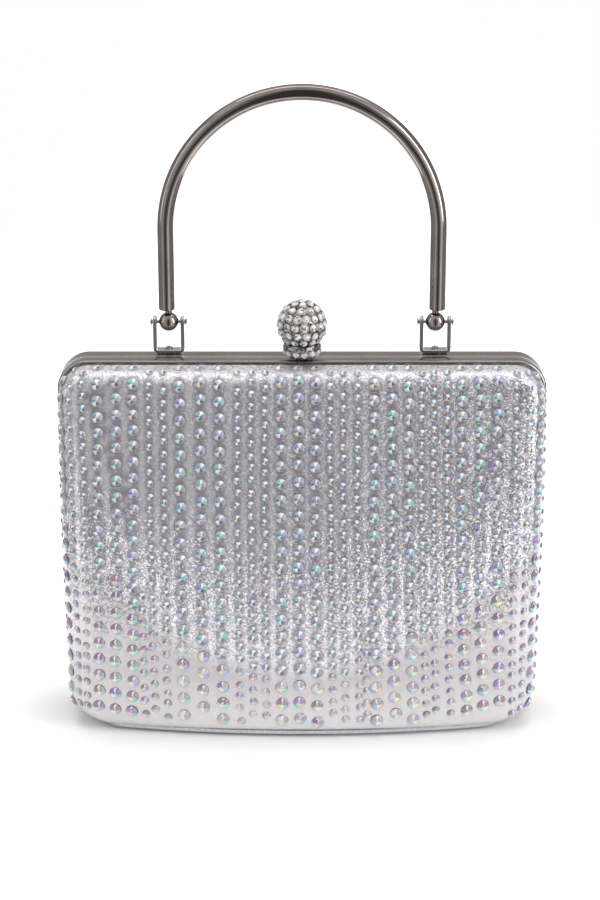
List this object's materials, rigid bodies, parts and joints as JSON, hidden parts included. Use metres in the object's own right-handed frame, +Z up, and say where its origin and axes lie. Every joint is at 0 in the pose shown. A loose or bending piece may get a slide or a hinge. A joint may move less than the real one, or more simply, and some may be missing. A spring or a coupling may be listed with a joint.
{
  "type": "evening clutch",
  "caption": "Hard box evening clutch: satin covered half shells in a polished frame, hinged at the bottom, with a tube handle on swivel links and a ball clasp.",
  "frame": {"origin": "centre of the footprint, on the surface that the clutch stands on", "axes": "+X to the right seen from the clasp side, +Y to the back, +Z up"},
  "size_m": [0.178, 0.0596, 0.2383],
  "materials": {
    "nickel": "polished gunmetal nickel plating on brass and zinc",
    "steel": "plain nickelled steel, hidden hardware",
    "satin": "silver grey lame satin with a fine glitter, glued over the shell",
    "shell_board": "moulded board of hard plastic",
    "lining_cloth": "grey woven lining",
    "crystal": "clear cut crystal with an iridescent coat, foil backed",
    "base_silver": "silver coloured base plate"
  },
  "bodies": {
    "rear_half": {"rear_cover": "satin", "rear_shell": "shell_board", "rear_lining": "lining_cloth", "slip_pocket": "lining_cloth", "rear_frame": "nickel", "rear_base_pad": "base_silver", "left_hinge_rear_leaf": "steel", "right_hinge_rear_leaf": "steel", "left_hinge_pin": "steel", "right_hinge_pin": "steel", "left_link_strap": "nickel", "right_link_strap": "nickel", "left_link_rivet": "steel", "right_link_rivet": "steel", "left_handle_pin": "nickel", "right_handle_pin": "nickel", "clasp_strike": "steel"},
    "front_half": {"front_cover": "satin", "front_shell": "shell_board", "front_lining": "lining_cloth", "front_frame": "nickel", "front_base_pad": "base_silver", "left_hinge_front_leaf": "steel", "right_hinge_front_leaf": "steel", "clasp_bracket": "steel", "clasp_pin": "steel", "clasp_spring": "steel"},
    "handle": {"handle_tube": "nickel", "left_handle_ball": "nickel", "right_handle_ball": "nickel"},
    "clasp": {"clasp_lever": "steel", "clasp_ball": "nickel", "clasp_stones": "crystal", "clasp_collar": "nickel", "collar_stones": "crystal"}
  },
  "joints": [
    {"name": "lid_hinge", "type": "hinge", "parent": "rear_half", "child": "front_half", "pos_m": [0, 0, 0.0016], "axis": [1, 0, 0], "range_deg": [0, 75]},
    {"name": "handle_swing", "type": "hinge", "parent": "rear_half", "child": "handle", "pos_m": [0, 0.00367, 0.1519], "axis": [1, 0, 0], "range_deg": [-122, 112]},
    {"name": "clasp_rock", "type": "hinge", "parent": "front_half", "child": "clasp", "pos_m": [0, -0.00367, 0.1364], "axis": [1, 0, 0], "range_deg": [0, 8], "stiffness_Nm_per_rad": 0.2, "springref_deg": -11.46}
  ]
}
